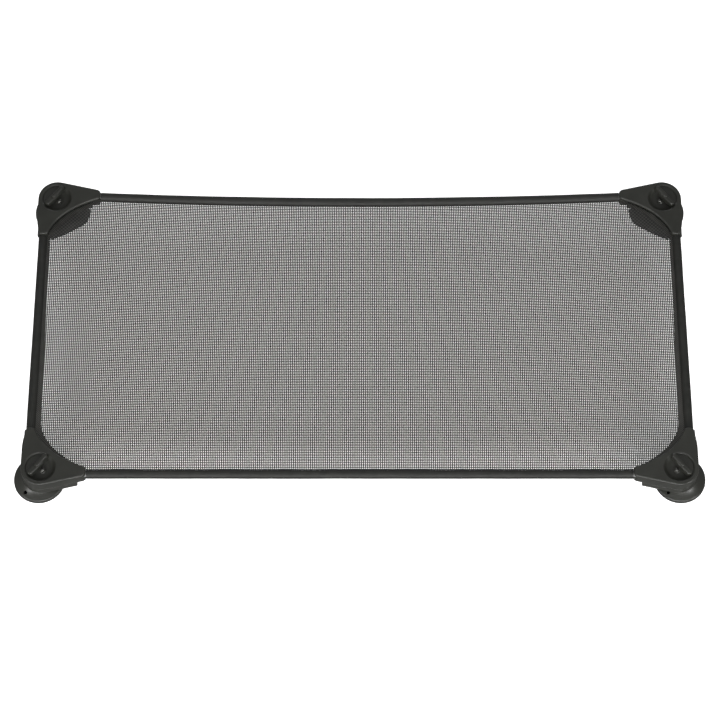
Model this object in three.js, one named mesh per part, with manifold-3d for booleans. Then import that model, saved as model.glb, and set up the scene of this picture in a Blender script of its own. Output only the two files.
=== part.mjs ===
// A raised dog bed that stacks: a rectangle of steel tube held by four moulded corners,
// each corner standing on a bell-shaped foot, with a mesh sling stretched inside the tubes.
// Millimetres, +Z up. The origin is on the floor under the middle of the bed.
// +X runs along the bed, -Y is its front.
import * as THREE from 'three';
import { mergeVertices } from 'three/addons/utils/BufferGeometryUtils.js';
import Module from 'manifold-3d';

// ---- driving dimensions -------------------------------------------------------------
const FRAME_LENGTH = 1270;      // over the covered short tubes
const FRAME_WIDTH = 619;        // over the covered long tubes, at the corners
const TUBE_HEIGHT = 49;         // tube axis above the floor, at the corners
const FIT = 0.3;                // gap between pieces that touch

const TUBE_RADIUS = 8;
const TUBE_WALL = 1.2;
const SLEEVE_WALL = 0.5;        // coated fabric wrapped round each tube
const TUBE_SAG = 12;            // how far the long tubes droop at mid length
const TUBE_BOW = 5;             // how far the sling pulls the long tubes inwards
const SOCKET_DEPTH = 48;        // tube length held inside each corner
const SOCKET_WALL = 3;

const HUB_RADIUS = 37;          // rounded outer corner of each moulding
const HUB_IN_FROM_END = 33;     // hub centre from the outer face of the short tube
const HUB_IN_FROM_SIDE = 18.5;  // hub centre from the outer face of the long tube
const EAR_LONG = 119;           // reach of the moulding along the long tube
const EAR_SHORT = 100;          // reach of the moulding along the short tube
const EAR_TAPER = 13;           // degrees that the long ear closes in on its tube
const EAR_TIP = 7;              // length of the rounding at the end of each ear
const STRIP_MARGIN = 2;         // solid beyond each tube, under the top face
const CAP_TOP = 14;             // top face above the tube axis
const CAP_BOTTOM = -11;
const LIP_HEIGHT = 6;           // rolled lip under the top face
const GROOVE_HEIGHT = 4;        // shadow groove between the lip and the skirt
const GROOVE_DEPTH = 1.2;
const EDGE_ROUND = 1.5;

const RECESS_RADIUS = 29;       // dish that takes the foot of the bed above
const RECESS_DEPTH = 9;
const FIN_ANGLE = 50;           // degrees from the long tube, in plan
const FIN_LENGTH = 50;
const FIN_WIDTH = 11;
const FIN_NARROW = 3;           // the tall half is this much narrower
const FIN_STAND = 7;            // how far the tall half stands above the top face
const FIN_STEP = 3;             // the outer half is this much lower
const FIN_SHIFT = 6;            // fin centre line from the hub centre
const SCREW_SHIFT = 5.5;        // cap screw from the hub centre, on the fin's other side
const BOSS_HEIGHT = 2;          // raised seat of the cap screw in the dish
const BOSS_MARGIN = 2.2;        // seat beyond the screw's head

const SCREW_RADIUS = 2;
const SCREW_HEAD_RADIUS = 3.8;
const SCREW_HEAD_HEIGHT = 2.6;
const CAP_SCREW_LENGTH = 27;
const TUBE_SCREW_LENGTH = 22;
const SHORT_SCREW_SHIFT = 6;    // towards the ear's tip, clear of the dish

const HUB_WALL = 4;             // wall round the dish, under the top face
const WEB_THICKNESS = 6;        // bracket plate on top of each leg
const WEB_DROP = 8;             // bracket plate below the underside of the corner cap
const WEB_INSET = 2;
const BRACKET_PAST_SCREW = 6;   // the bracket ends this far beyond each tube screw
const APRON_DROP = 12;          // the bracket's inner edge slopes down this far
const APRON_WALL = 0.09;        // its thickness, as a share of the way in to the hub
const APRON_TAPER = 0.11;       // share by which the bracket closes in on the hub at its top
const FOOT_RADIUS = 49;         // over the rubber ring
const FOOT_SET_OUT = 7.5;       // the front feet stand this far outside the hub centre
const LEG_NECK_RADIUS = 26;
const LEG_WALL = 3.5;
const BELL_SHOULDER = 11;       // where the flare steepens, in from the foot's edge
const BELL_THROAT = 5;          // and where it meets the neck, out from the neck
const RIM_HEIGHT = 4;           // rubber ring under the bell
const RIM_WIDTH = 5.5;
const RIM_LIP_HEIGHT = 9;       // inner lip that grips the inside of the bell
const VENT_RADIUS = 3.5;
const VENT_ANGLE = 232;         // degrees, the side of the foot that the vent faces

const SLING_THICKNESS = 2;
const SLING_SAG = 8;            // fabric droop below the tubes, at the middle

// ---- sizes that follow --------------------------------------------------------------
const HALF_LENGTH = FRAME_LENGTH / 2;
const HALF_WIDTH = FRAME_WIDTH / 2;
const SLEEVE_RADIUS = TUBE_RADIUS + FIT + SLEEVE_WALL;
const HUB = new THREE.Vector2(HUB_IN_FROM_END, HUB_IN_FROM_SIDE);
const SOCKET_RADIUS = TUBE_RADIUS + FIT + SOCKET_WALL;
const LEG_TOP = CAP_BOTTOM - FIT;
const WEB_TOP = LEG_TOP - WEB_DROP;
const WEB_BOTTOM = WEB_TOP - WEB_THICKNESS;
const FLOOR = -TUBE_HEIGHT;
const RECESS_FLOOR = CAP_TOP - RECESS_DEPTH;
const LONG_SCREW_AT = EAR_LONG - SOCKET_DEPTH / 2;
const SHORT_SCREW_AT = EAR_SHORT - SOCKET_DEPTH / 2 + SHORT_SCREW_SHIFT;
const BRACKET_LONG = LONG_SCREW_AT + BRACKET_PAST_SCREW;
const BRACKET_SHORT = SHORT_SCREW_AT + BRACKET_PAST_SCREW;
const BOSS_TOP = RECESS_FLOOR + BOSS_HEIGHT;

const wasm = await Module();
wasm.setup();

// ---- finishes -----------------------------------------------------------------------
const finish = (color, roughness, metalness) =>
  new THREE.MeshStandardMaterial({ color, roughness, metalness });
const mouldedPlastic = () => finish(0x3b3c36, 0.45, 0);
const paintedSteel = () => finish(0x34352f, 0.4, 0.3);
const coatedFabric = () => finish(0x3e3f39, 0.6, 0);
const meshFabric = () => finish(0x6c6c68, 0.85, 0);
const footRubber = () => finish(0x2e2e2b, 0.8, 0);
const zincSteel = () => finish(0xb9bab8, 0.3, 1);

// ---- solids -------------------------------------------------------------------------
// Merges shared corners, turns the faces outwards if the shape was mirrored, and makes a solid.
function solidOf(geometry) {
  const bare = geometry.clone();
  bare.deleteAttribute('normal');
  bare.deleteAttribute('uv');
  const merged = mergeVertices(bare, 1e-4);
  const positions = merged.attributes.position.array;
  const triangles = Uint32Array.from(merged.index.array);
  if (signedVolume(positions, triangles) < 0) turnInsideOut(triangles);
  return new wasm.Manifold(new wasm.Mesh({
    numProp: 3, vertProperties: Float32Array.from(positions), triVerts: triangles,
  }));
}

function signedVolume(positions, triangles) {
  const corner = (i) => new THREE.Vector3().fromArray(positions, 3 * triangles[i]);
  let total = 0;
  for (let i = 0; i < triangles.length; i += 3) {
    total += corner(i).dot(corner(i + 1).cross(corner(i + 2)));
  }
  return total / 6;
}

function turnInsideOut(triangles) {
  for (let i = 0; i < triangles.length; i += 3) {
    const second = triangles[i + 1];
    triangles[i + 1] = triangles[i + 2];
    triangles[i + 2] = second;
  }
}

function geometryOf(solid) {
  const mesh = solid.getMesh();
  const geometry = new THREE.BufferGeometry();
  geometry.setAttribute('position', new THREE.BufferAttribute(mesh.vertProperties, 3));
  geometry.setIndex(new THREE.BufferAttribute(mesh.triVerts, 1));
  geometry.computeVertexNormals();
  return geometry;
}

const joined = (first, ...others) => others.reduce((sum, next) => sum.add(next), first);
const cut = (first, ...others) => others.reduce((rest, next) => rest.subtract(next), first);

function part(name, geometry, material) {
  const mesh = new THREE.Mesh(geometry, material);
  mesh.name = name;
  return mesh;
}

// A flat shape given height, with its edges rounded inside the outline.
function slab(shape, low, high, { round = 0, inset = 0, curveSegments = 4 } = {}) {
  const geometry = new THREE.ExtrudeGeometry(shape, {
    depth: high - low - 2 * round,
    curveSegments,
    bevelEnabled: round > 0 || inset > 0,
    bevelThickness: round,
    bevelSize: round,
    bevelOffset: -round - inset,
    bevelSegments: 1,
  });
  return geometry.translate(0, 0, low + round);
}

function upright(x, y, low, high, radius, sides = 24) {
  const geometry = new THREE.CylinderGeometry(radius, radius, high - low, sides);
  return geometry.rotateX(Math.PI / 2).translate(x, y, (low + high) / 2);
}

function block(x0, x1, y0, y1, z0, z1) {
  const geometry = new THREE.BoxGeometry(x1 - x0, y1 - y0, z1 - z0);
  return geometry.translate((x0 + x1) / 2, (y0 + y1) / 2, (z0 + z1) / 2);
}

// A profile of [radius, height] points spun about an upright axis.
function turned(profile, sides = 24) {
  const points = profile.map(([radius, height]) => new THREE.Vector2(radius, height));
  return new THREE.LatheGeometry(points, sides).rotateX(Math.PI / 2);
}

// ---- tubes --------------------------------------------------------------------------
// A ring section swept along a curve. A wall of null makes it solid.
function swept(curve, radius, wall, steps) {
  const section = new THREE.Shape().absarc(0, 0, radius, 0, 2 * Math.PI, false);
  if (wall !== null) {
    section.holes.push(new THREE.Path().absarc(0, 0, radius - wall, 0, 2 * Math.PI, true));
  }
  return new THREE.ExtrudeGeometry(section, { steps, curveSegments: 6, extrudePath: curve });
}

// How far the long tubes have come down, or in, at a point along the bed, as a share of
// the most at mid length. It is nought at the mouths of the corner sockets.
const HALF_SPAN = HALF_LENGTH - EAR_LONG;
const bending = (x) => 1 - (x / HALF_SPAN) ** 2;

// The axis of a long tube between two places along the bed: a parabola.
function longAxis(side, halfReach) {
  const edge = HALF_WIDTH - SLEEVE_RADIUS;
  const endY = edge - TUBE_BOW * bending(halfReach);
  const endZ = TUBE_HEIGHT - TUBE_SAG * bending(halfReach);
  const middleY = 2 * (edge - TUBE_BOW) - endY;
  const middleZ = 2 * (TUBE_HEIGHT - TUBE_SAG) - endZ;
  return new THREE.QuadraticBezierCurve3(
    new THREE.Vector3(-halfReach, side * endY, endZ),
    new THREE.Vector3(0, side * middleY, middleZ),
    new THREE.Vector3(halfReach, side * endY, endZ),
  );
}

function shortAxis(side, halfReach) {
  const x = side * (HALF_LENGTH - SLEEVE_RADIUS);
  return new THREE.LineCurve3(
    new THREE.Vector3(x, -halfReach, TUBE_HEIGHT),
    new THREE.Vector3(x, halfReach, TUBE_HEIGHT),
  );
}

const LONG_HALF = HALF_SPAN + SOCKET_DEPTH;
const SHORT_HALF = HALF_WIDTH - EAR_SHORT + SOCKET_DEPTH;
const LONG_STEPS = 10;

function frameTube(axis, steps, screwHoles) {
  const tube = solidOf(swept(axis, TUBE_RADIUS, TUBE_WALL, steps));
  const drills = screwHoles.map(([x, y]) => solidOf(
    upright(x, y, 0, TUBE_HEIGHT, SCREW_RADIUS + FIT, 12)));
  return geometryOf(cut(tube, ...drills));
}

// ---- corner moulding ----------------------------------------------------------------
// Corner shapes are drawn as (u, v): u in from the end of the frame, v in from its side.
function capOutline() {
  const turn = THREE.MathUtils.degToRad(EAR_TAPER);
  const taperStart = new THREE.Vector2(
    HUB.x + HUB_RADIUS * Math.sin(turn), HUB.y - HUB_RADIUS * Math.cos(turn));
  const longTipOuter = taperStart.y + (EAR_LONG - EAR_TIP - taperStart.x) * Math.tan(turn);
  const tubeInner = 2 * SLEEVE_RADIUS;
  const outer = HUB.x - HUB_RADIUS;
  const outline = new THREE.Shape();
  outline.absarc(HUB.x, HUB.y, HUB_RADIUS, Math.PI, 1.5 * Math.PI + turn, false);
  outline.lineTo(EAR_LONG - EAR_TIP, longTipOuter);
  outline.quadraticCurveTo(EAR_LONG, longTipOuter + 2, EAR_LONG, SLEEVE_RADIUS);
  outline.quadraticCurveTo(EAR_LONG, tubeInner, EAR_LONG - EAR_TIP / 2,
    tubeInner + STRIP_MARGIN);
  outline.quadraticCurveTo(
    HUB.x + 4, HUB.y + 28, tubeInner + STRIP_MARGIN, EAR_SHORT - EAR_TIP / 2);
  outline.quadraticCurveTo(tubeInner, EAR_SHORT, SLEEVE_RADIUS, EAR_SHORT);
  outline.quadraticCurveTo(3, EAR_SHORT, 1, EAR_SHORT - EAR_TIP);
  outline.quadraticCurveTo(outer, 0.75 * EAR_SHORT, outer, HUB.y + HUB_RADIUS);
  outline.closePath();
  return outline;
}

// What of the corner is solid under its top plate: the hub and a strip along each tube.
function underPlate(low, high, spare = 0) {
  const strip = 2 * SLEEVE_RADIUS + STRIP_MARGIN + spare;
  const away = -2 * HUB_RADIUS;
  return joined(
    solidOf(upright(HUB.x, HUB.y, low, high, RECESS_RADIUS + HUB_WALL + spare, 32)),
    solidOf(block(away, HUB.x, away, HUB.y, low, high)),
    solidOf(block(HUB.x, EAR_LONG + spare, away, strip, low, high)),
    solidOf(block(away, strip, HUB.y, EAR_SHORT + spare, low, high)),
  );
}

function capBody() {
  const outline = capOutline();
  const grooveTop = CAP_TOP - LIP_HEIGHT;
  const grooveBottom = grooveTop - GROOVE_HEIGHT;
  const plate = solidOf(slab(outline, grooveTop, CAP_TOP, { round: EDGE_ROUND }));
  const waist = solidOf(slab(outline, grooveBottom - 1, grooveTop + 1, { inset: GROOVE_DEPTH }));
  const skirt = solidOf(slab(outline, CAP_BOTTOM, grooveBottom, { round: EDGE_ROUND }));
  return plate.add(waist.add(skirt).intersect(underPlate(CAP_BOTTOM - 1, CAP_TOP)));
}

// Round walls for the two tube sockets, one along each side of the corner.
function socketWalls() {
  const lengthLong = EAR_LONG - HUB.x - HUB_RADIUS + 10;
  const lengthShort = EAR_SHORT - HUB.y - HUB_RADIUS + 10;
  const round = (length) => new THREE.CylinderGeometry(SOCKET_RADIUS, SOCKET_RADIUS, length, 20);
  const alongLong = round(lengthLong).rotateZ(Math.PI / 2)
    .translate(EAR_LONG - 2 - lengthLong / 2, SLEEVE_RADIUS, 0);
  const alongShort = round(lengthShort)
    .translate(SLEEVE_RADIUS, EAR_SHORT - 2 - lengthShort / 2, 0);
  const slabs = joined(solidOf(alongLong), solidOf(alongShort));
  const reach = 2 * EAR_LONG;
  return slabs.intersect(solidOf(block(-reach, reach, -reach, reach, CAP_BOTTOM, CAP_TOP)));
}

// The dish in the top face, with a curved wall.
function recess() {
  const profile = [
    [0, RECESS_FLOOR],
    [RECESS_RADIUS - 9, RECESS_FLOOR],
    [RECESS_RADIUS - 3.5, RECESS_FLOOR + 0.25 * RECESS_DEPTH],
    [RECESS_RADIUS - 0.8, RECESS_FLOOR + 0.65 * RECESS_DEPTH],
    [RECESS_RADIUS, CAP_TOP],
    [RECESS_RADIUS, CAP_TOP + 1],
    [0, CAP_TOP + 1],
  ];
  return solidOf(turned(profile).translate(HUB.x, HUB.y, 0));
}

// Unit vectors along and across a corner's fin. back is +1 at the back corners.
function finFrame(back) {
  const angle = THREE.MathUtils.degToRad(FIN_ANGLE);
  const along = new THREE.Vector2(Math.cos(angle), -back * Math.sin(angle));
  const across = new THREE.Vector2(Math.sin(angle), back * Math.cos(angle));
  return { along, across };
}

function finHalf(along, centre, from, to, width, top) {
  const radius = width / 2;
  const shape = new THREE.Shape();
  shape.absarc(from + radius, 0, radius, 0.5 * Math.PI, 1.5 * Math.PI, false);
  shape.absarc(to - radius, 0, radius, -0.5 * Math.PI, 0.5 * Math.PI, false);
  const geometry = slab(shape, RECESS_FLOOR - 1, top, { round: 1, curveSegments: 6 });
  return solidOf(geometry.rotateZ(along.angle()).translate(centre.x, centre.y, 0));
}

function fin(back) {
  const { along, across } = finFrame(back);
  const centre = HUB.clone().addScaledVector(across, -FIN_SHIFT);
  const half = FIN_LENGTH / 2;
  const top = CAP_TOP + FIN_STAND;
  return joined(
    finHalf(along, centre, -half, half - FIN_WIDTH, FIN_WIDTH, top - FIN_STEP),
    finHalf(along, centre, -FIN_WIDTH / 2, half, FIN_WIDTH - FIN_NARROW, top),
  );
}

const screwPlace = (back) => HUB.clone().addScaledVector(finFrame(back).across, SCREW_SHIFT);

// Cuts the two tube bores. The bores follow the tubes' own axes, so they are made in the
// bed's frame and moved to the corner's.
function tubeBores(corner) {
  const bore = TUBE_RADIUS + FIT;
  return [
    swept(longAxis(corner.y, LONG_HALF + FIT), bore, null, LONG_STEPS),
    swept(shortAxis(corner.x, SHORT_HALF + FIT), bore, null, 1),
  ].map((geometry) => solidOf(geometry.translate(
    -corner.x * HALF_LENGTH, -corner.y * HALF_WIDTH, -TUBE_HEIGHT)));
}

// Holes for the screws that come up through the leg's web into the tubes.
const tubeScrewPlaces = [
  new THREE.Vector2(LONG_SCREW_AT, SLEEVE_RADIUS),
  new THREE.Vector2(SLEEVE_RADIUS, SHORT_SCREW_AT),
];

const tubeScrewDrills = (low, high) => tubeScrewPlaces.map(
  (at) => solidOf(upright(at.x, at.y, low, high, SCREW_RADIUS + FIT, 12)));

// Puts a shape drawn in (u, v) into a corner. Mirrored faces are turned by solidOf.
function placed(solid, corner) {
  return solidOf(geometryOf(solid).scale(-corner.x, -corner.y, 1));
}

function cornerCap(corner) {
  const screw = screwPlace(corner.y);
  const boss = solidOf(upright(screw.x, screw.y, RECESS_FLOOR - 1, BOSS_TOP,
    SCREW_HEAD_RADIUS + BOSS_MARGIN, 16));
  const drill = solidOf(upright(screw.x, screw.y, CAP_BOTTOM - 1, CAP_TOP,
    SCREW_RADIUS + FIT, 12));
  const body = cut(joined(capBody(), socketWalls()), recess());
  const drawn = cut(joined(body, fin(corner.y), boss), drill,
    ...tubeScrewDrills(CAP_BOTTOM - 1, 0));
  return geometryOf(cut(placed(drawn, corner), ...tubeBores(corner)));
}

// ---- leg ----------------------------------------------------------------------------
// The bracket under the corner: its inner edge runs across the corner under the sling.
function webOutline() {
  const turn = THREE.MathUtils.degToRad(EAR_TAPER);
  const radius = HUB_RADIUS - WEB_INSET;
  const outline = new THREE.Shape();
  outline.absarc(HUB.x, HUB.y, radius, Math.PI, 1.5 * Math.PI + turn, false);
  outline.lineTo(BRACKET_LONG, 1);
  outline.lineTo(BRACKET_LONG, 0.7 * SLEEVE_RADIUS);
  outline.lineTo(0.77 * EAR_LONG, 0.42 * EAR_SHORT);
  outline.quadraticCurveTo(
    0.72 * EAR_LONG, 0.53 * EAR_SHORT, 0.62 * EAR_LONG, 0.585 * EAR_SHORT);
  outline.lineTo(0.4 * EAR_LONG, 0.745 * EAR_SHORT);
  outline.lineTo(2 * SLEEVE_RADIUS, BRACKET_SHORT);
  outline.lineTo(2, BRACKET_SHORT);
  outline.lineTo(HUB.x - radius, 0.7 * EAR_SHORT);
  outline.closePath();
  return outline;
}

// The bracket as a solid: a plate whose inner edge slopes down into an apron. Under the hub
// and the tubes there is only the plate.
function web() {
  const apronLow = WEB_BOTTOM - APRON_DROP;
  const drawnIn = (low, high, round, inset) => {
    const geometry = slab(webOutline(), low, high, { round });
    const place = geometry.attributes.position;
    for (let i = 0; i < place.count; i += 1) {
      const rise = (place.getZ(i) - apronLow) / (WEB_TOP - apronLow);
      const share = 1 - inset - APRON_TAPER * rise;
      place.setXY(i, HUB.x + share * (place.getX(i) - HUB.x),
        HUB.y + share * (place.getY(i) - HUB.y));
    }
    return solidOf(geometry);
  };
  return cut(
    drawnIn(apronLow, WEB_TOP, 1, 0),
    drawnIn(apronLow - 1, WEB_BOTTOM, 0, APRON_WALL),
    underPlate(apronLow - 1, WEB_BOTTOM, STRIP_MARGIN),
  );
}

// The front feet stand a little outside their hubs, the back feet straight below them.
const footPlace = (corner) => new THREE.Vector2(
  HUB.x - (corner.y < 0 ? FOOT_SET_OUT : 0), HUB.y);

// The bell: a neck that flares to the floor, hollow from below.
function bell(foot) {
  const rimInner = FOOT_RADIUS - RIM_WIDTH + FIT;
  const base = FLOOR + RIM_HEIGHT + FIT;
  const shoulder = FOOT_RADIUS - BELL_SHOULDER;
  const throat = LEG_NECK_RADIUS + BELL_THROAT;
  const flare = [
    [FOOT_RADIUS - 0.5, base],
    [FOOT_RADIUS - 1, base + 3],
    [(FOOT_RADIUS + shoulder) / 2, base + 6],
    [shoulder, base + 10],
    [throat, base + 14],
    [LEG_NECK_RADIUS + 1, base + 18],
    [LEG_NECK_RADIUS, WEB_BOTTOM + 1],
    [0, WEB_BOTTOM + 1],
  ];
  const hollow = [
    [0, FLOOR],
    [rimInner, FLOOR],
    [rimInner, FLOOR + RIM_LIP_HEIGHT + FIT],
    [shoulder - LEG_WALL - 2, base + 9],
    [throat - LEG_WALL, base + 13],
    [LEG_NECK_RADIUS - LEG_WALL, WEB_BOTTOM],
    [0, WEB_BOTTOM],
  ];
  const outside = solidOf(turned([[0, base], ...flare]).translate(foot.x, foot.y, 0));
  return cut(outside, solidOf(turned(hollow).translate(foot.x, foot.y, 0)));
}

// A hole through the flare, so that the foot doesn't hold water or air.
function vent(corner) {
  const angle = THREE.MathUtils.degToRad(VENT_ANGLE);
  const out = new THREE.Vector3(
    -corner.x * Math.cos(angle), -corner.y * Math.sin(angle), 0.9).normalize();
  const drill = new THREE.CylinderGeometry(VENT_RADIUS, VENT_RADIUS, 24, 12);
  drill.applyQuaternion(new THREE.Quaternion().setFromUnitVectors(
    new THREE.Vector3(0, 1, 0), out));
  const foot = footPlace(corner);
  const reach = FOOT_RADIUS - 9;
  const flat = Math.hypot(out.x, out.y);
  drill.translate(foot.x + reach * out.x / flat, foot.y + reach * out.y / flat,
    FLOOR + RIM_HEIGHT + 8);
  return solidOf(drill);
}

function leg(corner) {
  const screw = screwPlace(corner.y);
  const pilot = BOSS_TOP - CAP_SCREW_LENGTH - FIT;
  const upstand = solidOf(slab(capOutline(), WEB_BOTTOM, LEG_TOP, { inset: WEB_INSET }))
    .intersect(underPlate(WEB_BOTTOM, LEG_TOP + 1))
    .intersect(solidOf(block(
      -HUB_RADIUS, BRACKET_LONG, -HUB_RADIUS, BRACKET_SHORT, WEB_BOTTOM, LEG_TOP)));
  const drill = solidOf(upright(screw.x, screw.y, pilot, CAP_TOP, SCREW_RADIUS + FIT, 12));
  const drawn = cut(joined(web(), upstand, bell(footPlace(corner))), drill, vent(corner),
    ...tubeScrewDrills(WEB_BOTTOM - 1, 0));
  return geometryOf(placed(drawn, corner));
}

function footRing() {
  const inner = FOOT_RADIUS - RIM_WIDTH;
  const profile = [
    [inner - 1.5, 0],
    [FOOT_RADIUS - 1, 0],
    [FOOT_RADIUS, 1],
    [FOOT_RADIUS, RIM_HEIGHT - 0.6],
    [FOOT_RADIUS - 0.6, RIM_HEIGHT],
    [inner, RIM_HEIGHT],
    [inner, RIM_LIP_HEIGHT],
    [inner - 1.5, RIM_LIP_HEIGHT],
    [inner - 1.5, 0],
  ];
  return geometryOf(solidOf(turned(profile)));
}

// ---- screws -------------------------------------------------------------------------
// A pan-head screw with a cross recess, its head's underside at nought and its tip below.
function panScrew(length) {
  const profile = [
    [0, -length],
    [SCREW_RADIUS, -length + 2],
    [SCREW_RADIUS, 0],
    [SCREW_HEAD_RADIUS, 0],
    [SCREW_HEAD_RADIUS, 0.5 * SCREW_HEAD_HEIGHT],
    [0.65 * SCREW_HEAD_RADIUS, SCREW_HEAD_HEIGHT],
    [0, SCREW_HEAD_HEIGHT],
  ];
  const arm = 0.55 * SCREW_HEAD_RADIUS;
  const slot = (halfX, halfY) => solidOf(
    block(-halfX, halfX, -halfY, halfY, 0.4 * SCREW_HEAD_HEIGHT, SCREW_HEAD_HEIGHT + 1));
  return geometryOf(cut(solidOf(turned(profile, 10)), slot(arm, 0.45), slot(0.45, arm)));
}

// ---- sling --------------------------------------------------------------------------
// Height of the sling at a place on it. s and t run from -1 to 1 along and across.
function slingHeight(x, s, t) {
  return TUBE_HEIGHT - TUBE_SAG * Math.max(bending(x), 0)
    - SLING_SAG * (1 - s ** 4) * (1 - t ** 2);
}

function sling() {
  const halfX = HALF_LENGTH - 2 * SLEEVE_RADIUS - FIT;
  const halfY = HALF_WIDTH - 2 * SLEEVE_RADIUS - FIT;
  const sheet = new THREE.BoxGeometry(2, 2, SLING_THICKNESS, 20, 6, 1);
  const place = sheet.attributes.position;
  for (let i = 0; i < place.count; i += 1) {
    const s = place.getX(i);
    const t = place.getY(i);
    const x = s * halfX;
    const y = t * (halfY - TUBE_BOW * Math.max(bending(x), 0));
    place.setXYZ(i, x, y, slingHeight(x, s, t) + place.getZ(i));
  }
  return geometryOf(cut(solidOf(sheet), ...corners.map(slingNotch)));
}

// What a corner takes out of the sling: what is solid under its top plate.
function slingNotch(corner) {
  const clear = 1;
  const low = FLOOR;
  const high = CAP_TOP - LIP_HEIGHT;
  const geometry = geometryOf(placed(underPlate(low, high, clear), corner));
  return solidOf(geometry.translate(corner.x * HALF_LENGTH, corner.y * HALF_WIDTH, TUBE_HEIGHT));
}

// ---- assembly -----------------------------------------------------------------------
const corners = [
  { name: 'front_left', x: -1, y: -1 },
  { name: 'front_right', x: 1, y: -1 },
  { name: 'back_left', x: -1, y: 1 },
  { name: 'back_right', x: 1, y: 1 },
];

function cornerGroup(corner) {
  const group = new THREE.Group();
  group.position.set(corner.x * HALF_LENGTH, corner.y * HALF_WIDTH, TUBE_HEIGHT);
  group.add(part(`corner_cap_${corner.name}`, cornerCap(corner), mouldedPlastic()));
  group.add(part(`leg_${corner.name}`, leg(corner), mouldedPlastic()));

  const ring = part(`foot_ring_${corner.name}`, footRing(), footRubber());
  const foot = footPlace(corner);
  ring.position.set(-corner.x * foot.x, -corner.y * foot.y, FLOOR);
  group.add(ring);

  const screw = screwPlace(corner.y);
  const capScrew = part(`cap_screw_${corner.name}`, panScrew(CAP_SCREW_LENGTH), zincSteel());
  capScrew.position.set(-corner.x * screw.x, -corner.y * screw.y, BOSS_TOP + FIT);
  group.add(capScrew);

  ['long', 'short'].forEach((side, index) => {
    const at = tubeScrewPlaces[index];
    const tubeScrew = part(`${side}_tube_screw_${corner.name}`,
      panScrew(TUBE_SCREW_LENGTH), zincSteel());
    tubeScrew.rotation.x = Math.PI;
    tubeScrew.position.set(-corner.x * at.x, -corner.y * at.y, WEB_BOTTOM - FIT);
    group.add(tubeScrew);
  });
  return group;
}

const bed = new THREE.Group();
for (const corner of corners) bed.add(cornerGroup(corner));

const longHoles = (side) => [-1, 1].map((end) => [
  end * (HALF_LENGTH - LONG_SCREW_AT), side * (HALF_WIDTH - SLEEVE_RADIUS)]);
const shortHoles = (end) => [-1, 1].map((side) => [
  end * (HALF_LENGTH - SLEEVE_RADIUS), side * (HALF_WIDTH - SHORT_SCREW_AT)]);

for (const [name, side] of [['front', -1], ['back', 1]]) {
  bed.add(part(`${name}_tube`,
    frameTube(longAxis(side, LONG_HALF), LONG_STEPS, longHoles(side)), paintedSteel()));
  bed.add(part(`${name}_sleeve`,
    geometryOf(solidOf(swept(longAxis(side, HALF_SPAN - 1), SLEEVE_RADIUS, SLEEVE_WALL,
      LONG_STEPS))), coatedFabric()));
}
for (const [name, end] of [['left', -1], ['right', 1]]) {
  bed.add(part(`${name}_tube`,
    frameTube(shortAxis(end, SHORT_HALF), 1, shortHoles(end)), paintedSteel()));
  bed.add(part(`${name}_sleeve`,
    geometryOf(solidOf(swept(shortAxis(end, HALF_WIDTH - EAR_SHORT - 1), SLEEVE_RADIUS,
      SLEEVE_WALL, 1))), coatedFabric()));
}
bed.add(part('mesh_sling', sling(), meshFabric()));

export default bed;
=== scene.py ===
# %% [markdown]
# # A raised dog bed that stacks
# The bed is a rectangle of steel tube held by four moulded corners. Each corner stands on a
# bell-shaped foot, and a mesh sling is stretched inside the tubes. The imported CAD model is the
# fixed frame of everything here: it is loaded first, and nothing in it is moved or resized.

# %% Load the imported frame
import math
import random

import bmesh
import bpy
from mathutils import Matrix, Vector, noise


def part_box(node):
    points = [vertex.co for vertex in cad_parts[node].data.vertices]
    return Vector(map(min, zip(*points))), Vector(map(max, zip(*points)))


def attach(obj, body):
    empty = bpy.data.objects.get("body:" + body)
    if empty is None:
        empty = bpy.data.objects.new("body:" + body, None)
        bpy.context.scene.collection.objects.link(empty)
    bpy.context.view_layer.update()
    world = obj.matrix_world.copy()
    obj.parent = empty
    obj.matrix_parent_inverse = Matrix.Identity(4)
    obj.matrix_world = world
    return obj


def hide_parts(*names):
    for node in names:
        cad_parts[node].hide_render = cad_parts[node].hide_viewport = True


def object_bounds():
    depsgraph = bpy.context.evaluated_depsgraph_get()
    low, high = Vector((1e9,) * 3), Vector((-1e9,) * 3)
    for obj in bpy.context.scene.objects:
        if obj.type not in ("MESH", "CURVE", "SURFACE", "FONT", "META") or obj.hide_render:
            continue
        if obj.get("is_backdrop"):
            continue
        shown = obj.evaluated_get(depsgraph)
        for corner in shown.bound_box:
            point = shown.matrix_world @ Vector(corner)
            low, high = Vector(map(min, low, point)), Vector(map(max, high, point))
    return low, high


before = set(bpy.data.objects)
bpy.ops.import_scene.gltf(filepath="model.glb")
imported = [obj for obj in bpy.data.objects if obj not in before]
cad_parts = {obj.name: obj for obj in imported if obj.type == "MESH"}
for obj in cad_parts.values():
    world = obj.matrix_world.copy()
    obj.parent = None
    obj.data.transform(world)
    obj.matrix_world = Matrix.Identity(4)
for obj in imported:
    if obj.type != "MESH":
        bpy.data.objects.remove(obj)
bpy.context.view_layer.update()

scene = bpy.context.scene

# %% [markdown]
# ## Sizes
# The shapes below are drawn in millimetres, as a maker would, and made metres at the very end.
# Every place comes from a CAD node's box, so a piece lands where the CAD part is. Only sizes that
# no box can give, such as the radius of an edge, are written here as numbers.

# %% Read the sizes from the frame
MM = 0.001


def box_mm(node_name):
    """A CAD node's lowest and highest corner, in millimetres."""
    low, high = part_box(node_name)
    return low / MM, high / MM


side_low, side_high = box_mm("left_sleeve")
front_low, front_high = box_mm("front_sleeve")
cap_low, cap_high = box_mm("corner_cap_front_left")
ring_low, ring_high = box_mm("foot_ring_front_left")

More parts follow.
